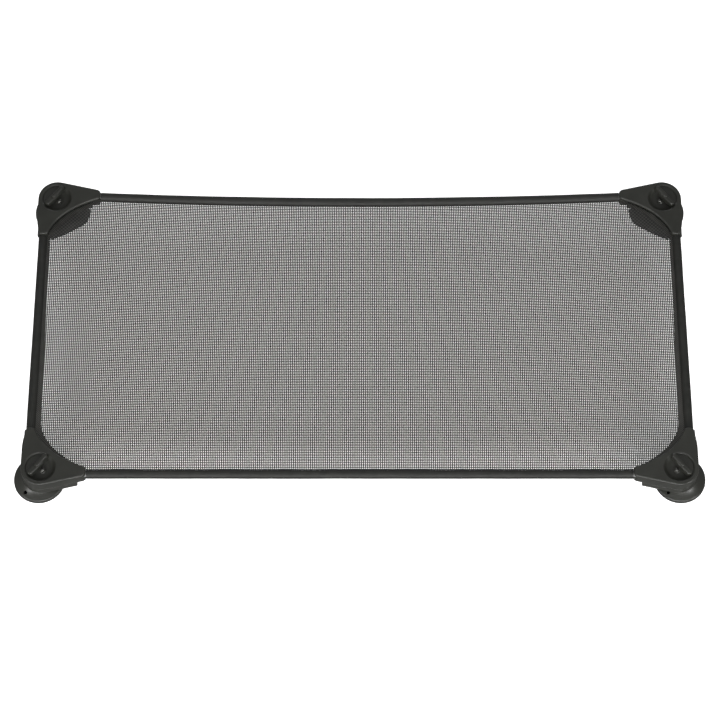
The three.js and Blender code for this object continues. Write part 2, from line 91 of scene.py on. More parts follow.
SLEEVE_RADIUS = (side_high.x - side_low.x) / 2
TUBE_HEIGHT = (side_high.z + side_low.z) / 2
HALF_LENGTH = -side_low.x
HALF_WIDTH = -front_low.y
TUBE_SAG = TUBE_HEIGHT - SLEEVE_RADIUS - front_low.z
TUBE_BOW = front_high.y - front_low.y - 2 * SLEEVE_RADIUS
EAR_LONG = cap_high.x + HALF_LENGTH
EAR_SHORT = cap_high.y + HALF_WIDTH
HALF_SPAN = HALF_LENGTH - EAR_LONG
FOOT_RADIUS = (ring_high.x - ring_low.x) / 2
print(f"half length {HALF_LENGTH:.1f}, half width {HALF_WIDTH:.1f}, tube axis {TUBE_HEIGHT:.1f}")
print(f"sag {TUBE_SAG:.1f}, bow {TUBE_BOW:.1f}, ears {EAR_LONG:.1f} and {EAR_SHORT:.1f}")

# %% [markdown]
# ## Camera
# The camera comes early, because everything is judged through it. It looks down on the bed from
# the front at a steep angle, with a long lens that keeps the two ends almost parallel.

# %% Camera
VIEW_DOWN = math.radians(64)
VIEW_DISTANCE = 4.6835
VIEW_TARGET = Vector((0.0005, -0.0609, TUBE_HEIGHT * MM))

camera_data = bpy.data.cameras.new("camera")
camera_data.lens = 121.4
camera_data.sensor_width = 36.0
camera_data.clip_end = 100.0
camera = bpy.data.objects.new("camera", camera_data)
scene.collection.objects.link(camera)
camera.location = VIEW_TARGET + VIEW_DISTANCE * Vector(
    (0, -math.cos(VIEW_DOWN), math.sin(VIEW_DOWN)))
camera.rotation_euler = (math.pi / 2 - VIEW_DOWN, 0, 0)
scene.camera = camera
print("camera at", [round(x, 3) for x in camera.location])

# %% [markdown]
# ## Light
# Dark satin plastic shows its shape only by what it mirrors. A wide softbox low at the front puts
# a bright line on every rolled edge that faces it, one at each front corner lights the bells, and
# weak ones overhead and behind fill the top faces and the far edges.

# %% Light
scene.view_settings.view_transform = "Standard"

world = bpy.data.worlds.new("studio")
scene.world = world
world.use_nodes = True
world.node_tree.nodes["Background"].inputs["Color"].default_value = (1.0, 1.0, 1.0, 1.0)
world.node_tree.nodes["Background"].inputs["Strength"].default_value = 0.32


def softbox(name, place, width, height, power):
    """A lamp aimed at the middle of the bed, which the camera doesn't see."""
    light = bpy.data.lights.new(name, "AREA")
    light.shape = "RECTANGLE"
    light.size, light.size_y = width, height
    light.energy = power
    lamp = bpy.data.objects.new(name, light)
    lamp.location = place
    lamp.rotation_euler = (-Vector(place)).to_track_quat("-Z", "Y").to_euler()
    lamp.visible_camera = False
    scene.collection.objects.link(lamp)


softbox("front_softbox", (0.0, -3.2, 1.25), 3.6, 0.7, 135.0)
softbox("left_softbox", (-2.4, -1.9, 1.3), 0.7, 0.7, 28.0)
softbox("right_softbox", (2.5, -1.9, 1.3), 0.6, 0.6, 32.0)
softbox("top_softbox", (0.0, -0.6, 4.8), 2.0, 2.0, 45.0)
softbox("back_softbox", (0.0, 3.4, 1.3), 3.0, 0.4, 22.0)

# %% [markdown]
# ## Finishes
# Each finish is a small tree of nodes: one slow noise for uneven colour, one fine noise or weave
# for the surface, and a roughness that wanders a little. A few helpers keep the trees short.

# %% Helpers for node trees
def new_finish(name, sockets):
    """A new material and its shader, with plain values on the sockets named."""
    material = bpy.data.materials.new(name)
    material.use_nodes = True
    shader = material.node_tree.nodes["Principled BSDF"]
    for socket, value in sockets.items():
        shader.inputs[socket].default_value = value
    return material, shader


def node(material, kind, sockets=None, result=0, **settings):
    """Adds a node. A socket given another node's output is linked; anything else is its value."""
    made = material.node_tree.nodes.new("ShaderNode" + kind)
    for name, value in settings.items():
        setattr(made, name, value)
    for socket, value in (sockets or {}).items():
        if isinstance(value, bpy.types.NodeSocket):
            material.node_tree.links.new(value, made.inputs[socket])
        else:
            made.inputs[socket].default_value = value
    return made.outputs[result]


def drive(shader, socket, output):
    """Links a node's output to one of the shader's sockets."""
    shader.id_data.links.new(output, shader.inputs[socket])


def place_in(material):
    """Where a point is on the object, in metres."""
    return node(material, "TexCoord", result="Object")


def noise_in(material, place, scale, detail=2.0):
    return node(material, "TexNoise", {"Vector": place, "Scale": scale, "Detail": detail})


def between(material, factor, dark, light, low=0.35, high=0.65):
    """A colour that runs from dark to light as the factor runs from low to high."""
    colour = node(material, "ValToRGB", {"Fac": factor})
    first, last = colour.node.color_ramp.elements
    first.position, last.position = low, high
    first.color, last.color = (*dark, 1.0), (*light, 1.0)
    return colour


def spread(material, value, low, high):
    """Spreads a noise over a range of numbers, such as a roughness."""
    return node(material, "MapRange", {
        "Value": value, "From Min": 0.3, "From Max": 0.7, "To Min": low, "To Max": high})


def bumped(material, height, strength, depth, below=None):
    sockets = {"Height": height, "Strength": strength, "Distance": depth}
    if below is not None:
        sockets["Normal"] = below
    return node(material, "Bump", sockets)


# %% [markdown]
# ### Moulded plastic
# The corners and legs are moulded from dark warm grey polypropylene. The mould was textured, so
# the skin has a very fine grain, and it cooled unevenly, which leaves faint clouds in the colour.

# %% Moulded plastic
def moulded_plastic():
    material, shader = new_finish("moulded_plastic", {"Specular IOR Level": 0.42})
    place = place_in(material)
    clouds = noise_in(material, place, 22.0, 3.0)
    grain = noise_in(material, place, 1500.0)
    flow = noise_in(material, place, 160.0)
    drive(shader, "Base Color", between(
        material, clouds, (0.0165, 0.0170, 0.0140), (0.0220, 0.0226, 0.0190)))
    drive(shader, "Roughness", spread(material, flow, 0.30, 0.39))
    soft = bumped(material, flow, 0.12, 0.0006)
    drive(shader, "Normal", bumped(material, grain, 0.22, 0.00012, soft))
    return material


PLASTIC = moulded_plastic()
print("finish:", PLASTIC.name)

# %% [markdown]
# ### Painted steel, rubber and zinc
# The tubes show only in the gap at each socket. Their paint has the slight orange peel of powder
# coating. The foot rings are matt rubber, and the screws are dulled zinc with fine turning marks.

# %% Painted steel, rubber and zinc
def painted_steel():
    material, shader = new_finish("painted_steel", {"Metallic": 0.0, "Coat Weight": 0.2})
    place = place_in(material)
    peel = noise_in(material, place, 700.0)
    drive(shader, "Base Color", between(
        material, noise_in(material, place, 30.0), (0.013, 0.0135, 0.011), (0.019, 0.0195, 0.0165)))
    drive(shader, "Roughness", spread(material, peel, 0.32, 0.42))
    drive(shader, "Normal", bumped(material, peel, 0.3, 0.0002))
    return material


def foot_rubber():
    material, shader = new_finish("foot_rubber", {"Specular IOR Level": 0.4})
    place = place_in(material)
    grain = noise_in(material, place, 900.0, 3.0)
    drive(shader, "Base Color", between(
        material, noise_in(material, place, 60.0, 4.0), (0.012, 0.012, 0.011), (0.020, 0.020, 0.018)))
    drive(shader, "Roughness", spread(material, grain, 0.66, 0.84))
    drive(shader, "Normal", bumped(material, grain, 0.35, 0.00025))
    return material


def zinc_plate():
    material, shader = new_finish("zinc_plate", {"Metallic": 1.0})
    place = place_in(material)
    stretched = node(material, "Mapping", {"Vector": place, "Scale": (1.0, 1.0, 9.0)})
    marks = noise_in(material, stretched, 900.0, 3.0)
    drive(shader, "Base Color", between(
        material, noise_in(material, place, 500.0), (0.10, 0.10, 0.095), (0.16, 0.16, 0.15)))
    drive(shader, "Roughness", spread(material, marks, 0.20, 0.30))
    drive(shader, "Normal", bumped(material, marks, 0.2, 0.00006))
    return material


PAINT, RUBBER, ZINC = painted_steel(), foot_rubber(), zinc_plate()
print("finishes:", PAINT.name, RUBBER.name, ZINC.name)

# %% [markdown]
# ### Coated cloth of the edge sleeves
# A smooth coated cloth is wrapped round each tube. Under the coating its fine weave still shows.
# The pattern follows the cloth's own map, which holds millimetres along and round the tube.

# %% Coated cloth
CLOTH_THREAD = 0.9


def cloth_map(material):
    """Millimetres along the cloth and across it, from its own map."""
    chart = node(material, "UVMap", uv_map="Cloth")
    parts = node(material, "SeparateXYZ", {"Vector": chart}).node
    return parts.outputs["X"], parts.outputs["Y"]


def sum_of(material, operation, first, second=0.0):
    return node(material, "Math", {0: first, 1: second}, operation=operation)


def coated_cloth():
    material, shader = new_finish("coated_cloth", {"Specular IOR Level": 0.3})
    along, across = cloth_map(material)
    turn = 2 * math.pi / CLOTH_THREAD
    warp = sum_of(material, "COSINE", sum_of(material, "MULTIPLY", along, turn))
    weft = sum_of(material, "COSINE", sum_of(material, "MULTIPLY", across, turn))
    weave = sum_of(material, "MULTIPLY", warp, weft)
    place = place_in(material)
    creases = noise_in(material, place, 75.0, 3.0)
    # The crease noise also sets the colour, darker where the creases sink: painted shade in the creases.
    drive(shader, "Base Color", between(
        material, creases, (0.0100, 0.0104, 0.0088), (0.0160, 0.0164, 0.0142)))
    drive(shader, "Roughness", spread(material, creases, 0.50, 0.62))
    soft = bumped(material, creases, 0.25, 0.0012)
    drive(shader, "Normal", bumped(material, weave, 0.25, 0.0001, soft))
    return material


CLOTH = coated_cloth()
print("finish:", CLOTH.name)

# %% [markdown]
# ### Mesh yarn and sewing thread
# The sling is an open weave of one dark coated yarn. About a fifth of it is holes, and the
# white floor seen through them is what makes the cloth look mid grey. The cloth's own map counts
# crossings, and a cosine of the count gives the slight rise and fall of each yarn. The same cosine
# makes the colour lighter where a yarn rises and darker where it dips, a painted highlight and
# painted shade.
# The tape that binds the cut edge is woven and painted the same way, more closely.

# %% Mesh yarn and sewing thread
def mesh_yarn(name, dark, light):
    material, shader = new_finish(name, {"Specular IOR Level": 0.35})
    strand, crossing = cloth_map(material)
    count = sum_of(material, "ADD", strand, crossing)
    crimp = sum_of(material, "COSINE", sum_of(material, "MULTIPLY", count, math.pi))
    uneven = noise_in(material, place_in(material), 45.0, 3.0)
    # The crimp also sets the colour: a painted highlight where the yarn rises and painted shade where it
    # dips.
    rise = sum_of(material, "MULTIPLY_ADD", crimp, 0.9)
    rise.node.inputs[2].default_value = 0.5
    rise.node.use_clamp = True
    worn = node(material, "MapRange", {
        "Value": uneven, "From Min": 0.3, "From Max": 0.7, "To Min": -0.22, "To Max": 0.22})
    shade = sum_of(material, "ADD", rise, worn)
    drive(shader, "Base Color", between(
        material, shade, dark, light, 0.0, 1.0))
    drive(shader, "Roughness", spread(material, uneven, 0.50, 0.64))
    drive(shader, "Normal", bumped(material, crimp, 0.5, 0.0003))
    return material


def sewing_thread():
    material, shader = new_finish("sewing_thread", {"Specular IOR Level": 0.3})
    place = place_in(material)
    twist = node(material, "TexWave", {"Vector": place, "Scale": 420.0, "Distortion": 1.5},
                 result="Fac", bands_direction="DIAGONAL")
    # The twist also sets the colour, lighter on its ridges and darker in its grooves: painted light and
    # shade.
    drive(shader, "Base Color", between(material, twist, (0.012, 0.012, 0.011), (0.030, 0.030, 0.027)))
    drive(shader, "Roughness", spread(material, twist, 0.6, 0.8))
    drive(shader, "Normal", bumped(material, twist, 0.4, 0.0002))
    return material


# Each yarn's dark colour is its painted shade and its light colour its painted highlight on the crowns.
YARN = mesh_yarn("mesh_yarn", (0.012, 0.012, 0.011), (0.045, 0.045, 0.042))
TAPE = mesh_yarn("binding_tape", (0.007, 0.007, 0.006), (0.050, 0.049, 0.044))
THREAD = sewing_thread()
print("finishes:", YARN.name, TAPE.name, THREAD.name)

# %% [markdown]
# ### The studio floor
# A pale floor lit from within, like a light table, so that it stays white under the mesh. It
# isn't mirrored by the bed, whose lower faces would otherwise turn pale. It belongs to the stage.

# %% Floor
FLOOR_HALF = 18.0
FLOOR_GLOW = 0.9

floor_finish, floor_shader = new_finish("studio_floor", {
    "Roughness": 0.9, "Specular IOR Level": 0.1,
    "Emission Color": (1.0, 1.0, 1.0, 1.0), "Emission Strength": FLOOR_GLOW})
drive(floor_shader, "Base Color", between(
    floor_finish, noise_in(floor_finish, place_in(floor_finish), 1.5),
    (0.88, 0.88, 0.88), (0.90, 0.90, 0.90)))

floor_shape = bmesh.new()
bmesh.ops.create_grid(floor_shape, x_segments=1, y_segments=1, size=FLOOR_HALF)
bmesh.ops.translate(floor_shape, verts=floor_shape.verts, vec=(0, 0, -0.0003))
floor_mesh = bpy.data.meshes.new("studio_floor")
floor_shape.to_mesh(floor_mesh)
floor_shape.free()
floor_mesh.materials.append(floor_finish)
floor = bpy.data.objects.new("studio_floor", floor_mesh)
scene.collection.objects.link(floor)
floor.visible_glossy = False
floor.visible_diffuse = False
floor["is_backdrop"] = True
print("floor:", 2 * FLOOR_HALF, "m square")

# %% [markdown]
# ## Tools for shapes
# Outlines are lists of points made by two helpers: an arc, and a bend that is pulled towards one
# point. A slab gives an outline some height and rolls its edges over with the bevel operator.

# %% Outlines
def arc(centre, radius, start, end, steps):
    """Points on an arc, from start to end in degrees."""
    turns = [math.radians(start + (end - start) * i / steps) for i in range(steps + 1)]
    return [Vector(centre) + radius * Vector((math.cos(a), math.sin(a))) for a in turns]


def bend(points, pull, end, steps=6):
    """Carries a list of points on, along a curve drawn towards pull, to the end point."""
    start, pull, end = Vector(points[-1]), Vector(pull), Vector(end)
    for i in range(1, steps + 1):
        t = i / steps
        points.append((1 - t) ** 2 * start + 2 * t * (1 - t) * pull + t * t * end)


def rolled(shape, edges, radius, steps=4):
    """Rounds edges over."""
    bmesh.ops.bevel(shape, geom=edges, offset=radius, segments=steps, profile=0.5,
                    affect="EDGES", material=-1)


def slab(outline, low, high, roll_top=0.0, roll_bottom=0.0, inset=0.0):
    """An outline given height, with its top and bottom edges rolled over."""
    shape = bmesh.new()
    face = shape.faces.new([shape.verts.new((p.x, p.y, low)) for p in outline])
    if inset:
        rim = bmesh.ops.inset_region(
            shape, faces=[face], thickness=inset, use_even_offset=True)["faces"]
        bmesh.ops.delete(shape, geom=rim, context="FACES")
        face = shape.faces[:][0]
    raised = bmesh.ops.extrude_face_region(shape, geom=[face])["geom"]
    bmesh.ops.translate(shape, verts=[g for g in raised if isinstance(g, bmesh.types.BMVert)],
                        vec=(0, 0, high - low))
    bmesh.ops.recalc_face_normals(shape, faces=shape.faces)
    for height, radius in ((high, roll_top), (low, roll_bottom)):
        if radius:
            rolled(shape, [e for e in shape.edges
                           if all(abs(v.co.z - height) < 1e-5 for v in e.verts)], radius)
    return shape


# %% Turned shapes and plain cutters
def turned(profile, sides=96, centre=(0.0, 0.0)):
    """A profile of (radius, height) points spun about an upright axis."""
    shape = bmesh.new()
    points = [shape.verts.new((r, 0, z)) for r, z in profile]
    edges = [shape.edges.new(pair) for pair in zip(points, points[1:])]
    bmesh.ops.spin(shape, geom=points + edges, cent=(0, 0, 0), axis=(0, 0, 1),
                   angle=2 * math.pi, steps=sides, use_merge=True)
    bmesh.ops.remove_doubles(shape, verts=shape.verts, dist=1e-4)
    bmesh.ops.recalc_face_normals(shape, faces=shape.faces)
    bmesh.ops.translate(shape, verts=shape.verts, vec=(*centre, 0))
    return shape


def block(low, high):
    shape = bmesh.new()
    low, high = Vector(low), Vector(high)
    place = Matrix.Translation((low + high) / 2) @ Matrix.Diagonal((*(high - low), 1.0))
    bmesh.ops.create_cube(shape, size=1.0, matrix=place)
    return shape


def rod(start, end, radius, sides=48):
    """A round bar from one point to another."""
    shape = bmesh.new()
    start, end = Vector(start), Vector(end)
    along = end - start
    turn = along.to_track_quat("Z", "X").to_matrix().to_4x4()
    bmesh.ops.create_cone(shape, cap_ends=True, segments=sides, radius1=radius, radius2=radius,
                          depth=along.length, matrix=Matrix.Translation((start + end) / 2) @ turn)
    return shape


# %% [markdown]
# ### Joining and cutting
# A moulding is easiest to think of as bodies joined and holes cut. Blender does that with the
# Boolean modifier, so each shape is put into a scratch object, combined, and read back.

# %% Join and cut
def scratch(shape):
    mesh = bpy.data.meshes.new("scratch")
    shape.to_mesh(mesh)
    shape.free()
    made = bpy.data.objects.new("scratch", mesh)
    scene.collection.objects.link(made)
    return made


def combined(base, *steps):
    """Joins, cuts or crops a closed shape with others, in order, and gives the result."""
    objects = [scratch(base)]
    for operation, shape in steps:
        tool = scratch(shape)
        objects.append(tool)
        modifier = objects[0].modifiers.new("combine", "BOOLEAN")
        modifier.operation = operation
        modifier.solver = "EXACT"
        modifier.object = tool
    result = bmesh.new()
    result.from_object(objects[0], bpy.context.evaluated_depsgraph_get())
    for made in objects:
        mesh = made.data
        bpy.data.objects.remove(made)
        bpy.data.meshes.remove(mesh)
    bmesh.ops.remove_doubles(result, verts=result.verts, dist=1e-4)
    return result


# %% [markdown]
# ### Making a piece
# A finished shape becomes an object at the origin. Flat faces stay flat and rolled edges stay
# soft, because edges sharper than a limit are marked and the shading is weighted by area.

# %% Make a piece
pieces_made = {}


def make_piece(shape, name, finish, replaces=(), sharp_above=32.0):
    """Turns a shape in millimetres into a piece of the bed."""
    bmesh.ops.scale(shape, vec=(MM, MM, MM), verts=shape.verts)
    for face in shape.faces:
        face.smooth = True
    limit = math.radians(sharp_above)
    for edge in shape.edges:
        edge.smooth = len(edge.link_faces) == 2 and edge.calc_face_angle() < limit
    open_edges = sum(len(edge.link_faces) != 2 for edge in shape.edges)
    mesh = bpy.data.meshes.new(name)
    shape.to_mesh(mesh)
    shape.free()
    mesh.materials.append(finish)
    piece = bpy.data.objects.new(name, mesh)
    scene.collection.objects.link(piece)
    shading = piece.modifiers.new("even_shading", "WEIGHTED_NORMAL")
    shading.keep_sharp = True
    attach(piece, "root")
    if replaces:
        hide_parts(*replaces)
    pieces_made[name] = piece
    print(f"{name}: {len(mesh.polygons)} faces, {open_edges} open edges")
    return piece


# %% [markdown]
# ## Corner mouldings
# Each corner is drawn once in its own plan: u is in from the end of the bed, v in from its side,
# and heights are above the tube axis. The other corners are mirrored copies. The outline is a
# round hub with an ear along each tube, and a hollow curve on the inside where the mesh shows.

# %% The corner's plan
HUB_RADIUS = 37.0
HUB = Vector((cap_low.x + HALF_LENGTH + HUB_RADIUS, cap_low.y + HALF_WIDTH + HUB_RADIUS))
FIN_STAND = 7.0
CAP_TOP = cap_high.z - TUBE_HEIGHT - FIN_STAND
CAP_BOTTOM = cap_low.z - TUBE_HEIGHT
EAR_TAPER = 13.0
EAR_TIP = 7.0
CORNERS = {"front_left": (-1, -1), "front_right": (1, -1),
           "back_left": (-1, 1), "back_right": (1, 1)}


def cap_outline():
    taper = math.radians(EAR_TAPER)
    inner = 2 * SLEEVE_RADIUS
    points = arc(HUB, HUB_RADIUS, 180, 270 + EAR_TAPER, 26)
    tip_v = points[-1].y + (EAR_LONG - EAR_TIP - points[-1].x) * math.tan(taper)
    points.append(Vector((EAR_LONG - EAR_TIP, tip_v)))
    bend(points, (EAR_LONG, tip_v + 2), (EAR_LONG, SLEEVE_RADIUS))
    bend(points, (EAR_LONG, inner), (EAR_LONG - EAR_TIP / 2, inner + 2))
    bend(points, HUB + Vector((4, 28)), (inner + 2, EAR_SHORT - EAR_TIP / 2), 28)
    bend(points, (inner, EAR_SHORT), (SLEEVE_RADIUS, EAR_SHORT))
    bend(points, (3, EAR_SHORT), (1, EAR_SHORT - EAR_TIP))
    bend(points, (HUB.x - HUB_RADIUS, 0.75 * EAR_SHORT), (HUB.x - HUB_RADIUS, HUB.y + HUB_RADIUS))
    return points


print(f"hub at {HUB.x:.1f}, {HUB.y:.1f}; top {CAP_TOP:.1f}, bottom {CAP_BOTTOM:.1f}")

# %% Plates, lip and skirt
LIP_HEIGHT = 6.0
GROOVE_HEIGHT = 4.0
GROOVE_DEPTH = 1.4
HUB_WALL = 4.0
RECESS_RADIUS = 29.0
RECESS_FLOOR = CAP_TOP - 9.0


def under_plate(low, high):
    """What is solid under the top plate: the hub, and a strip along each tube."""
    strip = 2 * SLEEVE_RADIUS + 2
    away = -2 * HUB_RADIUS
    hub = rod((*HUB, low), (*HUB, high), RECESS_RADIUS + HUB_WALL, 64)
    return combined(
        hub,
        ("UNION", block((away, away, low), (*HUB, high))),
        ("UNION", block((HUB.x, away, low), (EAR_LONG + 1, strip, high))),
        ("UNION", block((away, HUB.y, low), (strip, EAR_SHORT + 1, high))))


def cap_body():
    outline = cap_outline()
    groove_top = CAP_TOP - LIP_HEIGHT
    groove_bottom = groove_top - GROOVE_HEIGHT
    skirt = slab(outline, CAP_BOTTOM, groove_bottom, 1.8, 1.5)
    waist = slab(outline, groove_bottom - 2, groove_top + 2, inset=GROOVE_DEPTH)
    lower = combined(skirt, ("UNION", waist),
                     ("INTERSECT", under_plate(CAP_BOTTOM - 1, CAP_TOP - 2)))
    return combined(slab(outline, groove_top, CAP_TOP, 2.8, 1.6), ("UNION", lower))


# %% [markdown]
# ### Dish and stacking fin
# The dish holds the cap screw and the stacking fin. Its rim is rolled over, which is part of the
# cutter's own profile. The fin stands in the dish: a low wide half outside and a tall narrow half inside.

# %% Dish and fin
FIN_ANGLE = 50.0
FIN_LENGTH = 50.0
FIN_WIDTH = 11.0
FIN_STEP = 3.0
FIN_SHIFT = 6.0
SCREW_SHIFT = 5.5
BOSS_HEIGHT = 2.0
SOCKET_DEPTH = 48.0
SHELF_DROP = 3.2


def dish():
    """The cutter for the dish, with a rolled rim."""
    profile = [Vector((0, RECESS_FLOOR)), Vector((11, RECESS_FLOOR))]
    bend(profile, (RECESS_RADIUS - 6, RECESS_FLOOR), (RECESS_RADIUS - 1.6, CAP_TOP - 2.4), 12)
    bend(profile, (RECESS_RADIUS, CAP_TOP), (RECESS_RADIUS + 2.2, CAP_TOP), 6)
    profile += [Vector((RECESS_RADIUS + 2.2, CAP_TOP + 3)), Vector((0, CAP_TOP + 3))]
    return turned(profile, 96, HUB)


def shelf(turn, back, centre):
    """The shallow half of the dish, outside the fin."""
    radius = RECESS_RADIUS - 1.2
    top = CAP_TOP - SHELF_DROP
    profile = [Vector((0, RECESS_FLOOR - 1)), Vector((radius, RECESS_FLOOR - 1)), Vector((radius, top - 1))]
    bend(profile, (radius, top), (radius - 2, top), 4)
    profile.append(Vector((0, top)))
    side = Vector((0, -back * 60))
    outer = block((-60, min(side.y, 0), RECESS_FLOOR - 2), (60, max(side.y, 0), CAP_TOP))
    bmesh.ops.transform(outer, verts=outer.verts,
                        matrix=Matrix.Translation((*centre, 0)) @ Matrix.Rotation(turn, 4, "Z"))
    return combined(turned(profile, 96, HUB), ("INTERSECT", outer))


def fin_half(start, end, width, top, turn, centre):
    radius = width / 2
    outline = arc((start + radius, 0), radius, 90, 270, 12) + arc((end - radius, 0), radius, -90, 90, 12)
    shape = slab(outline, RECESS_FLOOR - 1, top, 0.24 * width)
    bmesh.ops.transform(shape, verts=shape.verts,
                        matrix=Matrix.Translation((*centre, 0)) @ Matrix.Rotation(turn, 4, "Z"))
    return shape


def fin_direction(back):
    """Unit vectors along and across the fin. back is 1 at the back corners and -1 in front."""
    angle = math.radians(FIN_ANGLE)
    along = Vector((math.cos(angle), -back * math.sin(angle)))
    return along, Vector((math.sin(angle), back * math.cos(angle)))


def moulded_corner(back):
    along, across = fin_direction(back)
    centre = HUB - FIN_SHIFT * across
    turn = math.atan2(along.y, along.x)
    half = FIN_LENGTH / 2
    top = CAP_TOP + FIN_STAND
    screw = HUB + SCREW_SHIFT * across
    bore = SLEEVE_RADIUS - 0.5
    boss = [(0, RECESS_FLOOR - 1), (6.6, RECESS_FLOOR - 1), (6.2, RECESS_FLOOR + 1.4),
            (5.6, RECESS_FLOOR + BOSS_HEIGHT), (0, RECESS_FLOOR + BOSS_HEIGHT)]
    socket_wall = SLEEVE_RADIUS + 2.5
    return combined(
        cap_body(),
        ("UNION", rod((EAR_LONG - 2, SLEEVE_RADIUS, 0), (HUB.x + 20, SLEEVE_RADIUS, 0), socket_wall)),
        ("UNION", rod((SLEEVE_RADIUS, EAR_SHORT - 2, 0), (SLEEVE_RADIUS, HUB.y + 20, 0), socket_wall)),
        ("DIFFERENCE", dish()),
        ("UNION", shelf(turn, back, centre)),
        ("UNION", fin_half(-half, half - FIN_WIDTH, FIN_WIDTH, top - FIN_STEP, turn, centre)),
        ("UNION", fin_half(-FIN_WIDTH / 2, half, FIN_WIDTH - 3, top, turn, centre)),
        ("UNION", turned(boss, 48, screw)),
        ("DIFFERENCE", rod((*screw, CAP_BOTTOM - 1), (*screw, CAP_TOP), 2.3, 24)),
        ("DIFFERENCE", rod((EAR_LONG + 5, SLEEVE_RADIUS, 0),
                           (EAR_LONG - SOCKET_DEPTH, SLEEVE_RADIUS, 0), bore)),
        ("DIFFERENCE", rod((SLEEVE_RADIUS, EAR_SHORT + 5, 0),
                           (SLEEVE_RADIUS, EAR_SHORT - SOCKET_DEPTH, 0), bore)))


def to_corner(shape, corner):
    """Moves a shape from a corner's plan to its place on the bed."""
    x, y = CORNERS[corner]
    place = Matrix.Translation((x * HALF_LENGTH, y * HALF_WIDTH, TUBE_HEIGHT))
    bmesh.ops.transform(shape, matrix=place @ Matrix.Diagonal((-x, -y, 1, 1)), verts=shape.verts)
    if x * y < 0:
        bmesh.ops.reverse_faces(shape, faces=shape.faces)
    return shape


# %% Make the four corners
corner_shapes = {back: moulded_corner(back) for back in (-1, 1)}
for corner, (_, back) in CORNERS.items():
    make_piece(to_corner(corner_shapes[back].copy(), corner), f"moulded_corner_{corner}",
               PLASTIC, [f"corner_cap_{corner}"])

# %% [markdown]
# ## Legs
# Each leg is one moulding: a bracket plate that reaches inwards under the mesh, an upstand that
# meets the corner, and a bell that flares to the floor. The bell is turned, as a bell is, and
# hollow from below so that it sits over the fin of the bed underneath.

# %% Leg shapes
leg_low, leg_high = box_mm("leg_front_left")
FLOOR = -TUBE_HEIGHT
LEG_TOP = leg_high.z - TUBE_HEIGHT
WEB_TOP = LEG_TOP - 8.0
WEB_BOTTOM = WEB_TOP - 6.0
WEB_INSET = 2.0
LEG_WALL = 3.5
NECK_RADIUS = 26.0
BELL_BASE = FLOOR + leg_low.z
APRON_DROP = 12.0
APRON_WALL = 0.09
APRON_TAPER = 0.11
PAST_SCREW = 6.0
long_low, long_high = box_mm("long_tube_screw_front_left")
short_low, short_high = box_mm("short_tube_screw_front_left")
BRACKET_LONG = (long_low.x + long_high.x) / 2 + HALF_LENGTH + PAST_SCREW
BRACKET_SHORT = (short_low.y + short_high.y) / 2 + HALF_WIDTH + PAST_SCREW


def web_outline():
    radius = HUB_RADIUS - WEB_INSET
    points = arc(HUB, radius, 180, 270 + EAR_TAPER, 18)
    points += [Vector((BRACKET_LONG, 1)), Vector((BRACKET_LONG, 0.7 * SLEEVE_RADIUS)),
               Vector((0.77 * EAR_LONG, 0.42 * EAR_SHORT))]
    bend(points, (0.72 * EAR_LONG, 0.53 * EAR_SHORT), (0.62 * EAR_LONG, 0.585 * EAR_SHORT))
    points += [Vector((0.4 * EAR_LONG, 0.745 * EAR_SHORT)), Vector((2 * SLEEVE_RADIUS, BRACKET_SHORT)),
               Vector((2, BRACKET_SHORT)), Vector((HUB.x - radius, 0.7 * EAR_SHORT))]
    return points


def web():
    """The bracket plate, whose inner edge slopes down into an apron."""
    apron_low = WEB_BOTTOM - APRON_DROP

    def drawn_in(low, high, roll, inset):
        shape = slab(web_outline(), low, high, roll, roll)
        for vertex in shape.verts:
            rise = (vertex.co.z - apron_low) / (WEB_TOP - apron_low)
            share = 1 - inset - APRON_TAPER * rise
            vertex.co.xy = HUB + share * (vertex.co.xy - HUB)
        return shape

    return combined(drawn_in(apron_low, WEB_TOP, 1.4, 0),
                    ("DIFFERENCE", drawn_in(apron_low - 1, WEB_BOTTOM, 0, APRON_WALL)),
                    ("DIFFERENCE", under_plate(apron_low - 1, WEB_BOTTOM)))


def bell_outside(foot):
    profile = [Vector((0, BELL_BASE)), Vector((FOOT_RADIUS - 0.9, BELL_BASE))]
    bend(profile, (FOOT_RADIUS - 0.3, BELL_BASE), (FOOT_RADIUS - 0.4, BELL_BASE + 1.2), 3)
    bend(profile, (FOOT_RADIUS - 0.6, BELL_BASE + 3.4), (FOOT_RADIUS - 3.0, BELL_BASE + 4.6), 5)
    bend(profile, (NECK_RADIUS + 5.5, BELL_BASE + 10.5), (NECK_RADIUS + 0.6, BELL_BASE + 19), 14)
    profile += [Vector((NECK_RADIUS, WEB_BOTTOM + 2)), Vector((0, WEB_BOTTOM + 2))]
    return turned(profile, 96, foot)


def bell_inside(foot):
    rim = FOOT_RADIUS - 5.2
    profile = [Vector((0, FLOOR)), Vector((rim, FLOOR)), Vector((rim, BELL_BASE + 4))]
    bend(profile, (NECK_RADIUS + 3, BELL_BASE + 8), (NECK_RADIUS - LEG_WALL, BELL_BASE + 17), 10)
    profile += [Vector((NECK_RADIUS - LEG_WALL, WEB_BOTTOM)), Vector((0, WEB_BOTTOM))]
    return turned(profile, 72, foot)


def bell_leg(foot):
    upstand = combined(slab(cap_outline(), WEB_BOTTOM, LEG_TOP, 0.8, inset=WEB_INSET),
                       ("INTERSECT", under_plate(WEB_BOTTOM - 1, LEG_TOP + 1)),
                       ("INTERSECT", block((-HUB_RADIUS, -HUB_RADIUS, WEB_BOTTOM - 1),
                                           (BRACKET_LONG, BRACKET_SHORT, LEG_TOP + 1))))
    return combined(
        web(),
        ("UNION", upstand),
        ("UNION", bell_outside(foot)),
        ("DIFFERENCE", bell_inside(foot)))


# %% [markdown]
# The vent hole lets water and air out of the hollow foot. It faces the same way on all four legs,
# so it is cut after each leg has been put in its corner.

